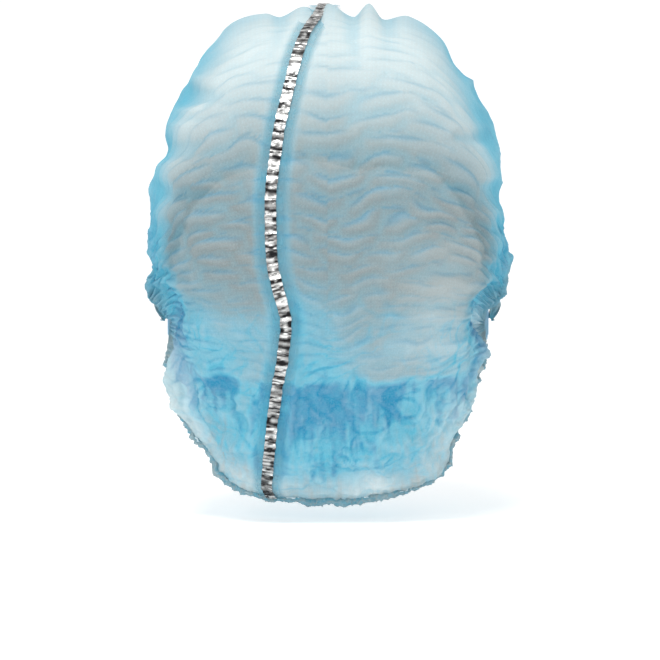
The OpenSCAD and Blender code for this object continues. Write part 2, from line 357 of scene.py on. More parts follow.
def settled_shift(fan, share):
    """How far the settled cloth has moved a point, in mm; nothing before the cloth is settled."""
    if "grid" not in SETTLED:
        return np.zeros((*np.shape(fan), 3))
    grid = SETTLED["grid"]
    row = (fan - REAR_HEM_FAN) / (FRONT_HEM_FAN - REAR_HEM_FAN) * (grid.shape[0] - 1)
    return read_grid(grid, row, share * (grid.shape[1] - 1))


def smoothed(grid, reach):
    """The grid with each value replaced by the mean of its neighbours within reach steps, twice over."""
    for axis in (0, 1, 0, 1):
        padded = np.concatenate([np.repeat(grid.take([0], axis), reach + 1, axis), grid,
                                 np.repeat(grid.take([-1], axis), reach, axis)], axis)
        total = np.cumsum(padded, axis)
        n = grid.shape[axis]
        span = 2 * reach + 1
        grid = (total.take(range(span, span + n), axis) - total.take(range(n), axis)) / span
    return grid


def settle_web(shape, rows=172, cols=150, frames=24):
    """Lets the web buckle as cloth. A coarse grid of the web is cut larger than the shape it hangs
    in, most where its pleats are gathered, held at the hems, the welds and the strip, and pressed
    inwards. What is kept is how far each point moved, less the mean of its neighbours: the wrinkles
    and not the sag. They come to a few mm at most; the larger folds are made in web_fields."""
    fan, share = np.meshgrid(np.linspace(REAR_HEM_FAN, FRONT_HEM_FAN, rows), np.linspace(0, 1, cols),
                             indexing="ij")
    start, fields = web_fields(shape, fan, share)
    start = start / 100
    mesh = bpy.data.meshes.new("settling")
    mesh.from_pydata(start.reshape(-1, 3).tolist(), [], grid_faces(rows, cols, flip=True).tolist())
    cloth = bpy.data.objects.new("settling", mesh)
    bpy.context.scene.collection.objects.link(cloth)
    weld_r = np.linalg.norm(start[..., 1:] * 100, axis=-1)
    held = np.maximum(ease(15, 10, weld_r), 0.9 * ease(7, 3, np.abs(fields["off_strip"])))
    held[0] = held[-1] = 1
    spare = np.clip(fields["spare"], 0, 1)
    for name, values in (("held", held), ("spare", spare)):
        group = cloth.vertex_groups.new(name=name)
        levels = np.round(values.ravel() * 20).astype(int)
        for level in np.unique(levels):
            group.add(np.flatnonzero(levels == level).tolist(), level / 20, "REPLACE")
    modifier = cloth.modifiers.new("cloth", "CLOTH")
    wear = modifier.settings
    wear.quality = 6
    wear.mass = 0.08
    wear.air_damping = 4.0
    wear.tension_stiffness = wear.compression_stiffness = 25
    wear.shear_stiffness = 8
    wear.bending_stiffness = 0.05
    wear.effector_weights.gravity = 0.0
    wear.vertex_group_mass = "held"
    wear.pin_stiffness = 30
    wear.vertex_group_shrink = "spare"
    wear.shrink_min = 0.0
    wear.shrink_max = -0.45
    wear.use_pressure = True
    wear.uniform_pressure_force = -0.35
    modifier.collision_settings.use_collision = False
    modifier.point_cache.frame_end = frames
    scene = bpy.context.scene
    for frame_number in range(1, frames + 1):
        scene.frame_set(frame_number)
    done = cloth.evaluated_get(bpy.context.evaluated_depsgraph_get())
    moved = np.empty(len(done.data.vertices) * 3, np.float32)
    done.data.vertices.foreach_get("co", moved)
    shift = (moved.reshape(rows, cols, 3) - start) * 100
    bpy.data.objects.remove(cloth)
    bpy.data.meshes.remove(mesh)
    scene.frame_set(1)
    shift = shift - smoothed(shift, 9)
    length = np.linalg.norm(shift, axis=-1, keepdims=True)
    SETTLED["grid"] = shift * np.minimum(1, 9.0 / np.maximum(length, 1e-6))


def web_fields(shape, fan, share):
    """The wrinkled web in mm, with the fields that its material reads.

    The smooth web is pushed along its outward direction by pleat folds, which are saw-tooth waves in
    the fan angle broken into slanting dashes; crumples, which are noise ridges and grow in the skirt
    and at the sides; waves along the sides; puffs, which are bells; grooves over the top; and ribs
    round the welds. All but the last three fade out in a flat lane under the foil strip. Near a hem
    the web slides along the fan with the hem's scallops, and the settled cloth's wrinkles are added."""
    p = web_point(shape, fan, share)
    out = outward(shape, fan, share)
    r = np.linalg.norm(p[..., 1:], axis=-1)
    side = np.abs(2 * share - 1)
    along = (share - 0.5) * 330.0
    off_strip = strip_distance(shape, fan, p)
    lane = ease(5.5, 13.0, np.abs(off_strip))

    # Regions: the pinch under the back of the head, where painted shadow falls too, the skirt below it, the
    # sides, the brow, the top.
    edge_fan = fan + 2.2 * noise(spot(along / 16, 0, 0), 83) + 0.6 * noise(spot(along / 6, 0, 0), 84)
    pinch_and_shadow = ease(-15, -19, edge_fan) * (0.35 * ease(-62, -42, edge_fan) + 0.65 * ease(-42, -22, edge_fan))
    skirt = ease(-15, -24, edge_fan)
    sides = ease(0.50, 0.86, side)
    lower_back = ease(16, -6, fan) * (1 - skirt)
    brow = ease(112, 132, fan)
    top = ease(46, 66, fan) * (1 - 0.5 * brow) * (1 - sides)

    # Pleat folds in dashes: rows step down the fan, dashes run along the arch and slant.
    q = spot(along / 30, fan / 12, 0)
    wander = 0.55 * noise(q, 3) + 0.25 * noise(q * 2.7, 4)
    row_at = fan / shape.pleat_pitch_deg + wander
    row = np.floor(row_at)
    dash_len = shape.dash_length / MM * (1.0 + 0.25 * np.sin(row * 2.4))
    dash_at = along / dash_len + 0.5 * (row % 2) + 0.37 * np.sin(row * 1.7)
    dash = dash_at - np.floor(dash_at)
    slant = 0.55 * (dash - 0.5) * np.sign(along)
    phase = row_at - slant
    saw = phase - np.floor(phase)
    strength = 0.6 + 0.4 * noise(spot(dash_at - dash + 0.5, row * 1.31 + 0.5, 0.5), 7)
    strength = strength * np.sin(np.pi * dash) ** 0.8
    fold = ease(0, 0.72, saw) * (1 - ease(0.78, 1.0, saw)) * strength
    # The line under each fold: it deepens the layers and also carries painted shade under the fold.
    fold_line = bump(0.86, 0.13, saw) * strength
    shown = 0.85 * bump(34, 24, fan) + 0.7 * sides + 0.2 * lower_back + 0.3 * brow + 0.16
    shown = shown * (1 - 0.8 * skirt)
    fold_mm = (2.5 * fold - 0.7) * shown * ease(4, 26, r)

    # Crumples.
    fine = creases(p / 15.0 + 0.35 * noise(p / 22.0, 12)[..., None], 11)
    fine2 = creases(p / np.array([7.5, 6.0, 6.0]), 15, 2)
    soft = noise(p / 24.0, 21)
    loose = (0.12 + 1.5 * skirt + 1.0 * sides + 0.3 * lower_back + 0.35 * brow) * (1 - 0.5 * top)
    crumple_mm = loose * (1.8 * (fine - 0.4) + 0.9 * (fine2 - 0.4) + 0.9 * soft) * ease(3, 24, r)

    puff_mm = bells(shape, PUFFS, p)

    # Pleats crowd into narrow ribs round each weld.
    rib_mm = 1.1 * np.sin(np.radians(fan) * RIBS_PER_TURN) * ease(34, 14, r) * ease(2, 9, r)

    groove_mm = through(TOP_GROOVES, p[..., 0]) * bump(93, 20, fan)
    wave_mm = (2.0 * noise(spot(p[..., 2] / 9, p[..., 1] / 60, np.sign(along) * 3), 85)
               + 3.2 * (0.30 - np.abs(noise(spot(p[..., 2] / 12, p[..., 1] / 50, np.sign(along) * 5), 86))))
    wave_mm = wave_mm * ease(0.16, 0.38, side) * ease(12, 34, r) * (1 - 0.7 * brow) * (1 - 0.5 * skirt)
    lift = ((fold_mm + crumple_mm + wave_mm) * (0.12 + 0.88 * lane) + puff_mm * (0.5 + 0.5 * lane)
            + groove_mm + rib_mm - 0.6)
    a = np.radians(fan)
    forward = spot(0 * a, -np.sin(a), np.cos(a))
    moved = p + out * lift[..., None]

    # Scallops: near a hem, points slide along the fan.
    rear_mm = (fan - REAR_HEM_FAN) * np.pi / 180 * r
    front_mm = (FRONT_HEM_FAN - fan) * np.pi / 180 * r
    slide = (-hem_scallop(share, 0) * np.exp(-rear_mm / 14.0)
             + hem_scallop(share, 5) * np.exp(-front_mm / 14.0))
    buckle = (0.42 + 0.95 * skirt + 0.55 * sides + 0.25 * lower_back - 0.25 * top) * (0.25 + 0.75 * lane)
    moved = moved + forward * slide[..., None] + settled_shift(fan, share) * buckle[..., None]

    # Density, from 0 to 1: how many layers of web lie on each other, with painted shadow added in the pinch
    # under the back of the head and painted limb shade where the web turns from the camera.
    warped = p / 13.0 + 0.9 * np.stack([noise(p / 19.0, 71), noise(p / 19.0, 72), noise(p / 19.0, 73)], -1)
    veins = (1 - 5.5 * np.abs(noise(warped, 74))).clip(0, 1)
    veins = veins * (0.5 + 0.5 * noise(p / 16.0, 75)).clip(0, 1)
    fine_veins = (1 - 4.5 * np.abs(noise(warped * 2.3, 76))).clip(0, 1)
    fine_veins = fine_veins * (0.5 + 0.6 * noise(p / 9.0, 77)).clip(0, 1)
    cloud = noise(p / 17.0, 78) + 0.5 * noise(p / 7.0, 79)
    streak = noise(spot(along / 3.2, fan / 9, 0), 80) + 0.6 * noise(spot(along / 1.6, fan / 5, 3), 81)
    # Painted limb shade: deeper blue and less pale where the web's outward direction turns from the camera's
    # side, standing in for light crossing the web aslant.
    rim = ease(0.52, 0.14, out[..., 1]) * (0.35 + 0.65 * ease(0.10, 0.34, side)) * (1 - 0.9 * skirt)
    dense = (0.10 + 0.05 * cloud + 0.30 * fold_line * shown + 0.10 * sides + 0.58 * rim
             + 0.52 * pinch_and_shadow * (1 - 0.7 * sides) * (0.85 + 0.45 * noise(p / 11.0, 82) + 0.12 * streak)
             + 0.25 * skirt * (1 - ease(-38, -62, fan) * 0.5) * (1 - 0.5 * sides)
             + 0.16 * (1 - ease(6.5, 10.5, np.abs(off_strip))) + bells(shape, LAYERED, p)
             + 0.30 * brow + 0.13 * lower_back)
    lower = np.clip(skirt + lower_back + 0.7 * sides + 0.5 * brow, 0, 1)
    dense = dense + lower * (0.26 * veins + 0.20 * fine_veins + 0.07 * cloud) + skirt * 0.15 * streak
    dense = dense * (0.40 + 0.60 * ease(18, 50, r))
    # Painted light: the web turns pale towards the top of the crown, as if lit from above; the sheer places
    # are one layer pulled tight.
    thin_and_lit = (0.95 * ease(32, 66, fan) * (1 - 0.9 * rim) * (1 - 0.4 * brow) + bells(shape, SHEER, p)
            + 0.35 * ease(-40, -62, fan) + 0.07 * skirt * (1 + sides) + 0.10 * lower_back)
    thin_and_lit = thin_and_lit - 0.30 * veins * lower - 0.2 * fine_veins * lower
    spare = (0.05 + 0.30 * bump(33, 24, fan) * (1 - sides) + 0.8 * skirt + 0.65 * sides
             + 0.35 * lower_back + 0.3 * brow)
    fields = {
        "dense": np.clip(dense, 0, 1), "thin_and_lit": np.clip(thin_and_lit, 0, 1),
        "line": np.clip(2.5 * fold_line * shown, 0, 1),
        "open": np.clip(bells(shape, SHEER[:SEE_THROUGH], p), 0, 1),
        "spare": spare, "off_strip": off_strip}
    return moved, fields


# ---------------------------------------------------------------------------
# Mesh helpers
# ---------------------------------------------------------------------------


def grid_faces(rows, cols, closed=False, flip=False):
    """Four corners of every cell of a rows by cols grid; closed joins the last column to the first."""
    last = cols if closed else cols - 1
    i, j = np.meshgrid(np.arange(rows - 1), np.arange(last), indexing="ij")
    n = (j + 1) % cols
    quads = np.stack([i * cols + j, i * cols + n, (i + 1) * cols + n, (i + 1) * cols + j], -1)
    quads = quads.reshape(-1, 4)
    return quads[:, ::-1] if flip else quads


def make_mesh(name, points_mm, faces, material, uv=None, fields=None):
    """An object whose mesh has these points, faces, one UV map and one number per point and field."""
    points = np.ascontiguousarray(points_mm.reshape(-1, 3) * MM, dtype=np.float32)
    mesh = bpy.data.meshes.new(name)
    mesh.vertices.add(len(points))
    mesh.vertices.foreach_set("co", points.ravel())
    faces = np.ascontiguousarray(faces, dtype=np.int32)
    corners = faces.shape[1]
    mesh.loops.add(faces.size)
    mesh.loops.foreach_set("vertex_index", faces.ravel())
    mesh.polygons.add(len(faces))
    mesh.polygons.foreach_set("loop_start", np.arange(0, faces.size, corners, dtype=np.int32))
    mesh.polygons.foreach_set("loop_total", np.full(len(faces), corners, dtype=np.int32))
    mesh.update(calc_edges=True)
    mesh.validate()
    mesh.polygons.foreach_set("use_smooth", np.ones(len(mesh.polygons), dtype=bool))
    if uv is not None:
        layer = mesh.uv_layers.new(name="UVMap")
        flat = uv.reshape(-1, 2)[faces.ravel()]
        layer.data.foreach_set("uv", np.ascontiguousarray(flat, dtype=np.float32).ravel())
    for field, values in (fields or {}).items():
        attribute = mesh.attributes.new(field, "FLOAT", "POINT")
        attribute.data.foreach_set("value", np.ascontiguousarray(values.ravel(), dtype=np.float32))
    mesh.materials.append(material)
    obj = bpy.data.objects.new(name, mesh)
    bpy.context.scene.collection.objects.link(obj)
    return obj


def nodes_of(name):
    """A new material with an empty node tree, its nodes and its links."""
    material = bpy.data.materials.new(name)
    material.use_nodes = True
    tree = material.node_tree
    tree.nodes.clear()
    return material, tree.nodes, tree.links


def attribute_of(nodes, name):
    node = nodes.new("ShaderNodeAttribute")
    node.attribute_name = name
    return node.outputs["Fac"]


def mix_colour(nodes, links, share, first, second, blend="MIX"):
    """A colour mix; each of the three inputs is a number, a colour or a socket."""
    node = nodes.new("ShaderNodeMix")
    node.data_type = "RGBA"
    node.blend_type = blend
    for socket, value in ((node.inputs[0], share), (node.inputs[6], first), (node.inputs[7], second)):
        if isinstance(value, bpy.types.NodeSocket):
            links.new(value, socket)
        elif isinstance(value, (int, float)):
            socket.default_value = value
        else:
            socket.default_value = (*value, 1.0)
    return node.outputs[2]


def maths(nodes, links, operation, first, second=0.0, third=0.0, clamp=False):
    node = nodes.new("ShaderNodeMath")
    node.operation = operation
    node.use_clamp = clamp
    for socket, value in zip(node.inputs, (first, second, third)):
        if isinstance(value, bpy.types.NodeSocket):
            links.new(value, socket)
        else:
            socket.default_value = value
    return node.outputs[0]


def linear(colour):
    """An sRGB colour from 0 to 255 as linear light."""
    c = np.asarray(colour, float) / 255
    return tuple(np.where(c <= 0.04045, c / 12.92, ((c + 0.055) / 1.055) ** 2.4))


# ---------------------------------------------------------------------------
# Materials
# ---------------------------------------------------------------------------


def web_material(look, name, density=1.0):
    """Spunbond non-woven: fibres laid at random, a lattice of fused bond points, deeper blue where
    pleats lie on each other, paler where one layer is stretched; light comes through it. Light and shade are
    also painted in: pale towards the top of the crown, grey in the middle, shade in the creases and under
    the folds, highlights on the ridges."""
    material, nodes, links = nodes_of(name)
    place = nodes.new("ShaderNodeTexCoord").outputs["Object"]
    uv = nodes.new("ShaderNodeUVMap")
    uv.uv_map = "UVMap"

    fibres = nodes.new("ShaderNodeTexNoise")
    fibres.inputs["Scale"].default_value = 900.0
    fibres.inputs["Detail"].default_value = 6.0
    fibres.inputs["Distortion"].default_value = 1.4
    links.new(place, fibres.inputs["Vector"])
    clouds = nodes.new("ShaderNodeTexNoise")
    clouds.inputs["Scale"].default_value = 120.0
    clouds.inputs["Detail"].default_value = 5.0
    links.new(place, clouds.inputs["Vector"])
    points = nodes.new("ShaderNodeTexVoronoi")
    points.inputs["Scale"].default_value = 620.0
    points.inputs["Randomness"].default_value = 0.15
    links.new(uv.outputs["UV"], points.inputs["Vector"])
    bond = maths(nodes, links, "LESS_THAN", points.outputs["Distance"], 0.24)

    dense = attribute_of(nodes, "dense")
    ramp = nodes.new("ShaderNodeValToRGB")
    links.new(dense, ramp.inputs["Fac"])
    stops = ((0.08, look.web_single_shaded), (0.35, look.web_double),
             (0.65, look.web_gathered), (0.98, look.web_pinched_and_shadowed))
    while len(ramp.color_ramp.elements) < len(stops):
        ramp.color_ramp.elements.new(0.5)
    for element, (place_on_ramp, tone) in zip(ramp.color_ramp.elements, stops):
        element.position = place_on_ramp
        element.color = (*linear(tone), 1)
    # Paler where one layer is pulled tight, and painted pale at the top of the crown as if lit from above.
    colour = mix_colour(nodes, links, attribute_of(nodes, "thin_and_lit"), ramp.outputs["Color"],
                        linear(look.web_sheer_and_lit))
    # Painted shade: the web is darkened towards its gathered blue in the creases of its relief.
    crease_shade_share = maths(nodes, links, "MULTIPLY", attribute_of(nodes, "crease_shade"), 0.26, clamp=True)
    colour = mix_colour(nodes, links, crease_shade_share, colour, linear(look.web_gathered))
    # Partly painted shade: a dark line under each pleat fold, where the fold's two layers also lie.
    fold_shade_share = maths(nodes, links, "MULTIPLY", attribute_of(nodes, "line"), 0.9, clamp=True)
    colour = mix_colour(nodes, links, fold_shade_share, colour, look.fold_shade, "MULTIPLY")
    # Painted highlight: the ridges of the relief are lightened towards the pale sheer tone.
    ridge_highlight_share = maths(nodes, links, "MULTIPLY", attribute_of(nodes, "ridge_highlight"), 0.12, clamp=True)
    colour = mix_colour(nodes, links, ridge_highlight_share, colour, linear(look.web_sheer_and_lit))
    mottle = maths(nodes, links, "MULTIPLY_ADD", clouds.outputs["Fac"], 0.5, -0.05, clamp=True)
    colour = mix_colour(nodes, links, mottle, colour, (0.92, 0.96, 0.98), "MULTIPLY")
    speck = maths(nodes, links, "MULTIPLY_ADD", fibres.outputs["Fac"], 0.25, -0.09, clamp=True)
    colour = mix_colour(nodes, links, speck, colour, linear((236, 246, 250)))
    colour = mix_colour(nodes, links, maths(nodes, links, "MULTIPLY", bond, 0.05), colour,
                        linear(look.web_gathered))

    height = maths(nodes, links, "MULTIPLY_ADD", bond, -0.5, fibres.outputs["Fac"])
    bump_node = nodes.new("ShaderNodeBump")
    bump_node.inputs["Strength"].default_value = 0.35
    bump_node.inputs["Distance"].default_value = 0.0004
    links.new(height, bump_node.inputs["Height"])

    cloth = nodes.new("ShaderNodeBsdfPrincipled")
    cloth.inputs["Roughness"].default_value = 0.62
    cloth.inputs["Specular IOR Level"].default_value = 0.22
    cloth.inputs["Sheen Weight"].default_value = 0.06
    cloth.inputs["Sheen Roughness"].default_value = 0.4
    cloth.inputs["Sheen Tint"].default_value = (*linear((120, 205, 235)), 1)
    links.new(colour, cloth.inputs["Base Color"])
    links.new(bump_node.outputs["Normal"], cloth.inputs["Normal"])
    through_light = nodes.new("ShaderNodeBsdfTranslucent")
    links.new(colour, through_light.inputs["Color"])
    links.new(bump_node.outputs["Normal"], through_light.inputs["Normal"])
    body = nodes.new("ShaderNodeMixShader")
    body.inputs[0].default_value = 0.40
    links.new(cloth.outputs[0], body.inputs[1])
    links.new(through_light.outputs[0], body.inputs[2])
    clear = nodes.new("ShaderNodeBsdfTransparent")
    cover = maths(nodes, links, "MULTIPLY_ADD", dense, 0.12, look.cover * density)
    cover = maths(nodes, links, "MULTIPLY_ADD", fibres.outputs["Fac"], 0.12, cover)
    cover = maths(nodes, links, "MULTIPLY_ADD", bond, 0.05, cover, clamp=True)
    opened = maths(nodes, links, "MULTIPLY", attribute_of(nodes, "open"), 0.22)
    gone = maths(nodes, links, "ADD", attribute_of(nodes, "fade"), opened)
    kept = maths(nodes, links, "SUBTRACT", 1.0, gone)
    cover = maths(nodes, links, "MULTIPLY", cover, kept)
    final = nodes.new("ShaderNodeMixShader")
    links.new(cover, final.inputs[0])
    links.new(clear.outputs[0], final.inputs[1])
    links.new(body.outputs[0], final.inputs[2])
    output = nodes.new("ShaderNodeOutputMaterial")
    links.new(final.outputs[0], output.inputs["Surface"])
    return material


def plain_material(name, colour, roughness, metallic=0.0, mottle=0.0, scale=300.0, grain=0.0003):
    """One finish with a fine grain: noise lightens the colour a little and roughens the surface."""
    material, nodes, links = nodes_of(name)
    place = nodes.new("ShaderNodeTexCoord").outputs["Object"]
    grit = nodes.new("ShaderNodeTexNoise")
    grit.inputs["Scale"].default_value = scale
    grit.inputs["Detail"].default_value = 5.0
    links.new(place, grit.inputs["Vector"])
    share = maths(nodes, links, "MULTIPLY", grit.outputs["Fac"], mottle, clamp=True)
    tint = mix_colour(nodes, links, share, colour, (1.0, 1.0, 1.0))
    shader = nodes.new("ShaderNodeBsdfPrincipled")
    shader.inputs["Metallic"].default_value = metallic
    shader.inputs["Roughness"].default_value = roughness
    links.new(tint, shader.inputs["Base Color"])
    bump_node = nodes.new("ShaderNodeBump")
    bump_node.inputs["Strength"].default_value = 0.4
    bump_node.inputs["Distance"].default_value = grain
    links.new(grit.outputs["Fac"], bump_node.inputs["Height"])
    links.new(bump_node.outputs["Normal"], shader.inputs["Normal"])
    output = nodes.new("ShaderNodeOutputMaterial")
    links.new(shader.outputs[0], output.inputs["Surface"])
    return material


def foil_material(look):
    """Thin bright foil: each crinkle's tone is painted reflection, bright or dark, from the piece's field,
    under a soft gloss.
    """
    material, nodes, links = nodes_of("crinkled_foil")
    place = nodes.new("ShaderNodeTexCoord").outputs["Object"]
    scratch = nodes.new("ShaderNodeTexNoise")
    scratch.inputs["Scale"].default_value = 1400.0
    scratch.inputs["Detail"].default_value = 4.0
    links.new(place, scratch.inputs["Vector"])
    # Painted reflection: the crinkles' bright and dark tones.
    painted_reflection = attribute_of(nodes, "painted_reflection")
    colour = mix_colour(nodes, links, painted_reflection, linear(look.foil_reflecting_dark), linear(look.foil_reflecting_light))
    rough = maths(nodes, links, "MULTIPLY_ADD", scratch.outputs["Fac"], 0.22, 0.14)
    shader = nodes.new("ShaderNodeBsdfPrincipled")
    shader.inputs["Metallic"].default_value = 0.8
    links.new(colour, shader.inputs["Base Color"])
    links.new(rough, shader.inputs["Roughness"])
    bump_node = nodes.new("ShaderNodeBump")
    bump_node.inputs["Strength"].default_value = 0.3
    bump_node.inputs["Distance"].default_value = 0.0002
    links.new(scratch.outputs["Fac"], bump_node.inputs["Height"])
    links.new(bump_node.outputs["Normal"], shader.inputs["Normal"])
    output = nodes.new("ShaderNodeOutputMaterial")
    links.new(shader.outputs[0], output.inputs["Surface"])
    return material


# ---------------------------------------------------------------------------
# Settings
# ---------------------------------------------------------------------------


class CapShape(PropertyGroup):
    """Sizes of the cap; the defaults come from the frame."""

    crown_reach: FloatProperty(
        name="Crown height", description="Height of the crown above the weld line",
        default=CROWN_BOX[1].z - 0.3 * MM, unit="LENGTH")
    crown_half_width: FloatProperty(
        name="Crown half width", description="Half of the crown's full width",
        default=CROWN_BOX[1].x - 0.3 * MM, unit="LENGTH")
    weld_half_span: FloatProperty(
        name="Weld half span", description="Half of the distance between the two end welds",
        default=WELD_BOX[0].x + 1.75 * MM, unit="LENGTH")
    rear_hem_reach: FloatProperty(
        name="Rear hem reach", description="Distance of the rear hem from the weld line",
        default=90.5 * MM, unit="LENGTH")
    front_hem_reach: FloatProperty(
        name="Front hem reach", description="Distance of the front hem from the weld line",
        default=123 * MM, unit="LENGTH")
    pleat_pitch_deg: FloatProperty(
        name="Pleat pitch", description="Fan angle from one pleat fold to the next", default=3.8)
    dash_length: FloatProperty(
        name="Fold length", description="Usual length of one pleat fold along the arch",
        default=26 * MM, unit="LENGTH")
    web_columns: IntProperty(name="Web columns", description="Points across the web", default=294, min=40)
    web_rows: IntProperty(
        name="Web rows", description="Points along the web, from hem to hem", default=403, min=60)


class CapLook(PropertyGroup):
    """Colours of the cap, as sRGB from 0 to 255, and how much the web covers."""

    # Also painted light: the pale tone of the top of the crown and of the ridges.
    web_sheer_and_lit: FloatVectorProperty(
        name="Web, sheer", description="One layer pulled tight and lit through", default=(232, 239, 237))
    # Painted shade: the grey of one open layer stands for the shaded head behind the middle of the web.
    web_single_shaded: FloatVectorProperty(
        name="Web, one layer", description="The web where its pleats lie open", default=(126, 138, 138))
    web_double: FloatVectorProperty(
        name="Web, two layers", description="The web where pleats begin to overlap", default=(114, 174, 192))
    web_gathered: FloatVectorProperty(
        name="Web, gathered", description="The web where its pleats crowd", default=(88, 186, 210))
    # Deep blue where many layers lie, and painted shadow under the back of the head.
    web_pinched_and_shadowed: FloatVectorProperty(
        name="Web, pinched", description="Many layers under the back of the head", default=(34, 144, 184))
    # Partly painted shade: this tint darkens the line under each fold for the shade under it as well as its
    # two layers.
    fold_shade: FloatVectorProperty(
        name="Fold shade", description="What a fold's two layers leave of the light", subtype="COLOR",
        default=(0.52, 0.70, 0.80))
    # Painted reflection: the tones of crinkles that mirror light and dark.
    foil_reflecting_light: FloatVectorProperty(name="Foil, bright", description="Crinkles that face the light",
                                     default=(250, 250, 248))
    foil_reflecting_dark: FloatVectorProperty(name="Foil, dark", description="Crinkles that turn away",
                                   default=(22, 22, 24))
    cover: FloatProperty(
        name="Cover", description="Share of the light that one layer stops", default=0.84)


def settings():
    """The scene's shape and look settings."""
    return bpy.context.scene.cap_shape, bpy.context.scene.cap_look


def bend_rear(piece):
    """Bakes the piece's transform into its mesh; the piece is not bound to the crown or the nape."""
    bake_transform(piece)


def bend_front(piece):
    """Bakes the piece's transform into its mesh; the piece is not bound to the crown or the brow."""
    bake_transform(piece)


# ---------------------------------------------------------------------------
# Operators
# ---------------------------------------------------------------------------


def with_collars(grid, fan):
    """The grid of points with extra columns at both ends, which close the ring round each end weld:
    they run in from the web's edge to just inside the weld's outline, a rectangle cut by a circle."""
    weld_low, weld_high = WELD_BOX[0] / MM, WELD_BOX[1] / MM
    a = np.radians(fan[:, 0])
    half_depth, half_height = weld_high.y, weld_high.z
    reach = np.minimum(half_depth / np.maximum(np.abs(np.cos(a)), 0.05), half_height) * 0.92
    ends = []
    for side, edge in ((-1, grid[:, 0]), (1, grid[:, -1])):
        ribs = 0.5 * np.sin(a * RIBS_PER_TURN)
        goal = spot(side * (weld_low.x + 1.2 + ribs), reach * np.cos(a), reach * np.sin(a))
        part = np.linspace(0, 1, COLLAR_STEPS + 1)[1:, None, None]
        run = np.moveaxis(edge + (goal - edge) * part, 0, 1)
        ends.append(run[:, ::-1] if side < 0 else run)
    return np.concatenate([ends[0], grid, ends[1]], axis=1)


class CAP_OT_web(Operator):
    """Make the pleated web in its rear and front halves"""

    bl_idname = "cap.web"
    bl_label = "Pleated web"

    def execute(self, context):
        shape, look = settings()
        settle_web(shape)
        fabric = web_material(look, "spunbond_web")
        fan, share = np.meshgrid(np.linspace(REAR_HEM_FAN, FRONT_HEM_FAN, shape.web_rows),
                                 np.linspace(0, 1, shape.web_columns), indexing="ij")
        points, fields = web_fields(shape, fan, share)
        relief = ((points - web_point(shape, fan, share)) * outward(shape, fan, share)).sum(-1)
        fine = relief - smoothed(relief, 3)
        broad = relief - smoothed(relief, 8)
        # Painted shade in the creases of the relief.
        fields["crease_shade"] = np.clip(-0.9 * fine - 0.28 * broad, 0, 1)
        # Painted highlight on the ridges of the relief.
        fields["ridge_highlight"] = np.clip(0.9 * fine + 0.28 * broad, 0, 1)
        uv = spot(share * 0.33, fan * 0.00175)
        points = with_collars(points, fan)
        sideways = ((0, 0), (COLLAR_STEPS, COLLAR_STEPS))
        fields = {field: np.pad(values, sideways, "edge") for field, values in fields.items()}
        uv = np.pad(uv, (*sideways, (0, 0)), "reflect", reflect_type="odd")
        seam_share = (SEAM_FAN - REAR_HEM_FAN) / (FRONT_HEM_FAN - REAR_HEM_FAN)
        seam = int(round(seam_share * (shape.web_rows - 1)))
        for name, rows, bend, nodes, flat in (
                ("web_rear", slice(0, seam + 1), bend_rear, ("crown_web", "nape_web"), REAR_WEB_OPENED),
                ("web_front", slice(seam, None), bend_front, ("brow_web",), FRONT_WEB_OPENED)):
            half = {field: values[rows] for field, values in fields.items()}
            web = make_mesh(name, points[rows], grid_faces(*half["dense"].shape, flip=True), fabric,
                            uv[rows], half)
            bend(web)
            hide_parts(*nodes)
        return {"FINISHED"}


def edge_line(shape, fan, share):
    """Points of a hem's line in mm, on the web's own edge, with its forward and outward directions."""
    points, _ = web_fields(shape, np.full_like(share, fan), share)
    out = outward(shape, np.full_like(share, fan), share)
    tangent = unit(np.gradient(points, axis=0))
    forward = unit(np.cross(tangent, out))
    return points, forward, out


def ring_tube(centre, side, up, radius, around):
    """A tube round a line: each ring has the given radius at each of the around angles."""
    turn = np.linspace(0, 2 * np.pi, around, endpoint=False)[None, :, None]
    return (centre[:, None, :] + radius[..., None] * (np.cos(turn) * side[:, None, :]
                                                      + np.sin(turn) * up[:, None, :]))


class CAP_OT_hems(Operator):
    """Make the two gathered hems"""

    bl_idname = "cap.hems"
    bl_label = "Hems"

    def execute(self, context):
        shape, look = settings()
        fabric = web_material(look, "hem_fabric", density=0.8)
        share = np.linspace(0.012, 0.988, 900)
        around = 26
        for name, fan, bend, node in (("hem_rear", REAR_HEM_FAN, bend_rear, "rear_hem"),
                                      ("hem_front", FRONT_HEM_FAN, bend_front, "front_hem")):
            line, forward, out = edge_line(shape, fan, share)
            turn = np.linspace(0, 2 * np.pi, around, endpoint=False)
            s, t = np.meshgrid(share, turn, indexing="ij")
            place = spot(s * 95, np.cos(t) * 0.9, np.sin(t) * 0.9)
            gathers = creases(place, 51, 2)
            ends = ease(0, 0.05, s) * ease(0, 0.05, 1 - s)
            radius = 1.2 + (1.5 * gathers + 0.4 * noise(place * 0.35, 55)) * (0.4 + 0.6 * ends)
            points = ring_tube(line, forward, out, radius, around)
            faces = grid_faces(len(share), around, closed=True, flip=True)
            fields = {"dense": np.clip(0.45 - 0.35 * gathers, 0, 1), "thin_and_lit": 0.45 * gathers}
            uv = np.stack([s * 0.45, t * 0.0025], -1)
            hem = make_mesh(name, points, faces, fabric, uv, fields)
            bend(hem)
            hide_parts(node)
        return {"FINISHED"}


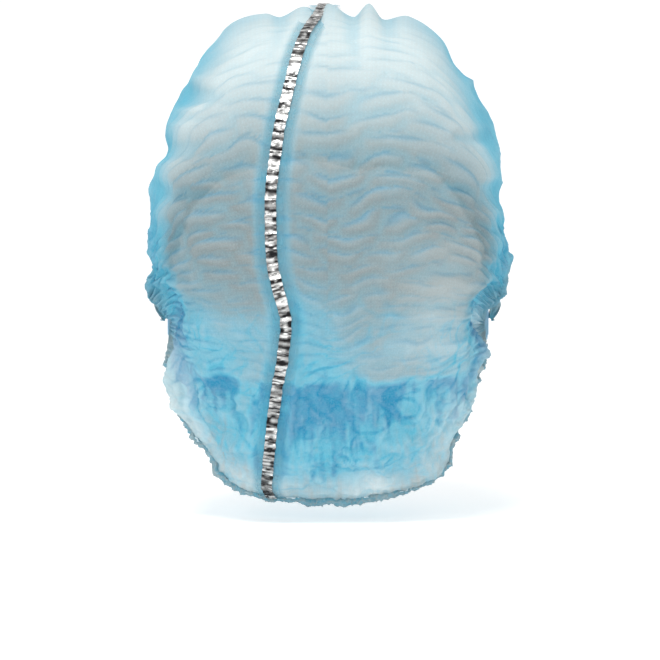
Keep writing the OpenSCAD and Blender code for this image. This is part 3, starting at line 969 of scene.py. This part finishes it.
class CAP_OT_elastics(Operator):
    """Make the elastic cords inside the hems"""

    bl_idname = "cap.elastics"
    bl_label = "Elastics"

    def execute(self, context):
        shape, _ = settings()
        rubber = plain_material("covered_elastic", linear((224, 238, 242)), 0.7, mottle=0.3, scale=900)
        share = np.linspace(0.02, 0.98, 500)
        for edge, fan, bend in (("rear", REAR_HEM_FAN, bend_rear), ("front", FRONT_HEM_FAN, bend_front)):
            line, forward, out = edge_line(shape, fan, share)
            for place, shift in (("upper", 0.75), ("lower", -0.75)):
                twist = 1 + 0.12 * np.sin(np.linspace(0, 500, len(share)))
                radius = np.broadcast_to(0.45 * twist[:, None], (len(share), 10))
                points = ring_tube(line + forward * shift, forward, out, radius, 10)
                cord = make_mesh(f"elastic_{edge}_{place}", points,
                                 grid_faces(len(share), 10, closed=True, flip=True), rubber)
                bend(cord)
                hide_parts(f"{edge}_elastic_{place}")
        return {"FINISHED"}


def strip_frame(shape, fan):
    """Points on the strip's middle line, on the wrinkled web, with its sideways and outward directions."""
    middle = through(STRIP_LINE, fan)
    share = share_of(shape, fan, middle)
    base, _ = web_fields(shape, fan, share)
    ahead, _ = web_fields(shape, fan + 0.2, share_of(shape, fan + 0.2, through(STRIP_LINE, fan + 0.2)))
    out = outward(shape, fan, share)
    along = unit(ahead - base)
    side = unit(np.cross(out, along))
    return base, side, out


class CAP_OT_foil(Operator):
    """Make the carrier tape and the crinkled foil strip on it"""

    bl_idname = "cap.foil"
    bl_label = "Foil strip"

    def execute(self, context):
        shape, look = settings()
        tape_fabric = web_material(look, "carrier_tape", density=0.62)
        foil = foil_material(look)
        spans = (("rear", REAR_HEM_FAN, SEAM_FAN, bend_rear, ("crown", "nape")),
                 ("front", SEAM_FAN, FRONT_HEM_FAN, bend_front, ("brow",)))
        for edge, low, high, bend, bodies in spans:
            length = 1.85 * (high - low)
            fan = np.linspace(low, high, int(length * 2.4))
            for kind, width, columns, lift in (("tape", TAPE_WIDTH, 21, 0.35),
                                               ("foil", FOIL_WIDTH, 11, 0.8)):
                f, w = np.meshgrid(fan, np.linspace(-0.5, 0.5, columns), indexing="ij")
                base, side, out = strip_frame(shape, f)
                middle = base[:, columns // 2]
                steps = np.diff(middle, axis=0, prepend=middle[:1])
                run = np.cumsum(np.linalg.norm(steps, axis=-1))[:, None]
                if kind == "foil":
                    # Crinkles: flat facets that zigzag, each with its own length and tilt.
                    cell = run / 2.1 + 0.9 * noise(spot(run / 5, 0, 0), 61)
                    index = np.floor(cell)
                    part = cell - index
                    tilt = noise(spot(index * 3.17, 0.5, low + 0.5), 62)
                    zigzag = (np.abs(part - 0.5) * 2 - 0.5) * (0.55 + 0.3 * tilt)
                    cross = 0.25 * noise(spot(run / 1.3, w * 3.0, 0), 63)
                    rise = lift + 0.45 + zigzag * 0.8 + cross
                    edge_wave = 1 + 0.10 * noise(spot(run / 2.0, np.sign(w) * 2.5, 0), 64)
                    # Painted reflection: each crinkle is painted bright or dark, with bands and glints, for
                    # the light and dark it mirrors.
                    half = noise(spot(np.floor(cell * 2 + 0.5 * w) * 1.7, w * 2.6, low + 0.5), 65)
                    period = 2.0 + 1.1 * ease(56, 84, f) + 2.4 * ease(-40, -52, f)
                    reflection_bars = np.sin(2 * np.pi * run / period / 2)
                    painted_glint = ease(0.25, 0.55, noise(spot(np.floor(run / 3.1) * 2.3, 0.5, low + 3.5), 69))
                    tone = 0.32 + 0.80 * half + 0.30 * tilt + 0.26 * reflection_bars + 0.5 * painted_glint
                    painted_reflection = np.clip(tone, 0, 1) ** 1.3
                    fields = {"painted_reflection": painted_reflection}
                    material, slot = foil, "foil"
                else:
                    rise = lift + 0.5 * creases(spot(run / 5, w * 3, 0), 66, 2)
                    edge_wave = 1 + 0.12 * noise(spot(run / 6, np.sign(w) * 3, 0), 67)
                    rim = ease(0.30, 0.5, np.abs(w) * edge_wave)
                    # Partly painted shadow: the tape is deeper blue across the band under the back of the
                    # head.
                    pinch_and_shadow = ease(-19, -23, f) * ease(-46, -24, f)
                    # Painted light: the tape turns pale towards the top of the crown.
                    fields = {"dense": 0.40 + 0.35 * pinch_and_shadow + 0.12 * noise(spot(run / 3, w * 4, 0), 68),
                              "thin_and_lit": 0.35 * ease(60, 90, f), "fade": 0.25 + 0.7 * rim}
                    material, slot = tape_fabric, "carrier_tape"
                points = base + side * (w * width * edge_wave)[..., None] + out * (rise + 0 * w)[..., None]
                uv = spot(w * 0.014, run * MM)
                piece = make_mesh(f"{kind}_{edge}", points, grid_faces(*f.shape, flip=True), material,
                                  uv, fields)
                bend(piece)
                prefix = "foil_strip" if kind == "foil" else "foil_carrier"
                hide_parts(*[f"{prefix}_{body}" for body in bodies])
        return {"FINISHED"}


class CAP_OT_welds(Operator):
    """Finish the fused ends of the pleats"""

    bl_idname = "cap.welds"
    bl_label = "End welds"

    def execute(self, context):
        _, look = settings()
        fused = plain_material("fused_pleats", linear((96, 168, 200)), 0.42, mottle=0.35, scale=500)
        for node in ("left_end_weld", "right_end_weld"):
            for obj in bpy.context.scene.objects:
                if obj.get("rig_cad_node") == node:
                    obj.data.materials.clear()
                    obj.data.materials.append(fused)
        return {"FINISHED"}


def tail_points(side, leaf, rows=90, cols=24):
    """A leaf of the tail in mm: rays fan out of the weld from low to straight up, each as long as a
    notched outline says, and the leaf zigzags across its rays as pleats do."""
    turn, out = np.meshgrid(np.radians(np.linspace(6, 96, rows)), np.linspace(0, 1, cols), indexing="ij")
    far = 3.0 + 13.0 * bump(np.radians(61), np.radians(24), turn)
    far = far + 1.6 * noise(spot(turn * 6, leaf * 3, side), 91)
    far = far * (0.84 + 0.08 * leaf) * (1.0 if side > 0 else 0.72)
    reach = 1.5 + (far - 1.5) * out
    pleat = 0.55 * np.sin(turn * 16 + leaf * 2.1) * (0.4 + 0.6 * out)
    pleat = pleat + 0.5 * noise(spot(turn * 5, out * 2, leaf), 92)
    start = WELD_BOX[1].x / MM + 0.1
    return spot(side * (start + 0.1 + reach * np.cos(turn) * 0.86), (leaf - 1) * 0.75 + pleat,
                reach * np.sin(turn) + 0.6)


class CAP_OT_tails(Operator):
    """Make the free pleat ends that fan out past the end welds"""

    bl_idname = "cap.tails"
    bl_label = "Pleat tails"

    def execute(self, context):
        _, look = settings()
        fabric = web_material(look, "tail_fabric")
        for side, name in ((1, "left"), (-1, "right")):
            leaves = [tail_points(side, leaf) for leaf in range(3)]
            rows, cols = leaves[0].shape[:2]
            quads = grid_faces(rows, cols, flip=side > 0)
            faces = np.concatenate([quads + k * rows * cols for k in range(len(leaves))])
            points = np.stack(leaves)
            fade = np.broadcast_to(np.linspace(0.95, 0.35, cols), points.shape[:3])
            fields = {"dense": fade * 0.7, "thin_and_lit": (1 - fade) * 0.5}
            uv = spot(points[..., 0] * MM, points[..., 2] * MM)
            tail = make_mesh(f"tail_{name}", points, faces, fabric, uv, fields)
            thick = tail.modifiers.new("thickness", "SOLIDIFY")
            thick.thickness = 0.2 * MM
            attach(tail, "crown")
            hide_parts(f"{name}_end_tail")
        return {"FINISHED"}


class CAP_OT_stage(Operator):
    """Make the floor, the lights and the camera"""

    bl_idname = "cap.stage"
    bl_label = "Stage"

    def execute(self, context):
        scene = context.scene
        low = CAD_BOX[0].z - 4 * MM
        paint, nodes, links = nodes_of("floor_paint")
        shader = nodes.new("ShaderNodeBsdfPrincipled")
        shader.inputs["Base Color"].default_value = (0.92, 0.92, 0.92, 1)
        shader.inputs["Roughness"].default_value = 0.9
        shader.inputs["Emission Color"].default_value = (1, 1, 1, 1)
        shader.inputs["Emission Strength"].default_value = 0.26
        output = nodes.new("ShaderNodeOutputMaterial")
        links.new(shader.outputs[0], output.inputs["Surface"])
        # The floor is a profile carried sideways: flat, then a quarter circle, then a wall.
        turn = np.linspace(0, np.pi / 2, 24)
        bend_r, far, near = 1500.0, -2500.0, 14000.0
        curve = np.stack([far - bend_r * np.sin(turn), bend_r * (1 - np.cos(turn))], -1)
        profile = np.concatenate([[[near, 0]], curve, [[far - bend_r, 6000.0]]])
        points = spot(np.array([-6000.0, 6000.0]), profile[:, :1], profile[:, 1:] + low / MM)
        floor = make_mesh("floor", points, grid_faces(len(profile), 2), paint)

        for name, place, target, size, power in (
                ("top_light", (0.2, 0.7, 1.5), (0, 0, 0), 0.6, 15.0),
                ("back_light", (0.7, 1.8, 0.9), (0, 0, 0), 0.5, 5.0)):
            data = bpy.data.lights.new(name, "AREA")
            data.energy, data.size = power, size
            light = bpy.data.objects.new(name, data)
            light.location = place
            light.rotation_euler = (Vector(target) - Vector(place)).to_track_quat("-Z", "Y").to_euler()
            scene.collection.objects.link(light)

        world = bpy.data.worlds.new("studio")
        world.use_nodes = True
        world.node_tree.nodes["Background"].inputs["Color"].default_value = (1, 1, 1, 1)
        world.node_tree.nodes["Background"].inputs["Strength"].default_value = 0.74
        scene.world = world

        camera_data = bpy.data.cameras.new("camera")
        camera_data.sensor_width = 36
        camera_data.lens = 36 * CAMERA_DISTANCE / FRAME_WIDTH
        camera = bpy.data.objects.new("camera", camera_data)
        tilt = radians(3)
        target = Vector((-0.9 * MM, 0, -3.6 * MM))
        camera.location = target + CAMERA_DISTANCE * Vector((0, np.cos(tilt), np.sin(tilt)))
        camera.rotation_euler = (target - camera.location).to_track_quat("-Z", "Y").to_euler()
        scene.collection.objects.link(camera)
        scene.camera = camera
        scene.view_settings.view_transform = "Standard"
        return {"FINISHED"}


class CAP_PT_panel(Panel):
    """Lists the pieces and their settings"""

    bl_idname = "CAP_PT_panel"
    bl_label = "Clip cap"
    bl_space_type = "VIEW_3D"
    bl_region_type = "UI"
    bl_category = "Clip cap"

    def draw(self, context):
        for group in settings():
            box = self.layout.box()
            for name in group.__annotations__:
                box.prop(group, name)
        for operator in OPERATORS:
            self.layout.operator(operator.bl_idname)


OPERATORS = (CAP_OT_web, CAP_OT_hems, CAP_OT_elastics, CAP_OT_foil, CAP_OT_welds, CAP_OT_tails, CAP_OT_stage)
CLASSES = (CapShape, CapLook, *OPERATORS, CAP_PT_panel)


def register():
    for cls in CLASSES:
        bpy.utils.register_class(cls)
    bpy.types.Scene.cap_shape = PointerProperty(type=CapShape)
    bpy.types.Scene.cap_look = PointerProperty(type=CapLook)


def unregister():
    del bpy.types.Scene.cap_look
    del bpy.types.Scene.cap_shape
    for cls in reversed(CLASSES):
        bpy.utils.unregister_class(cls)


def main():
    register()
    bpy.ops.cap.web()
    bpy.ops.cap.hems()
    bpy.ops.cap.elastics()
    bpy.ops.cap.foil()
    bpy.ops.cap.welds()
    bpy.ops.cap.tails()
    bpy.ops.cap.stage()


if __name__ == "__main__":
    main()
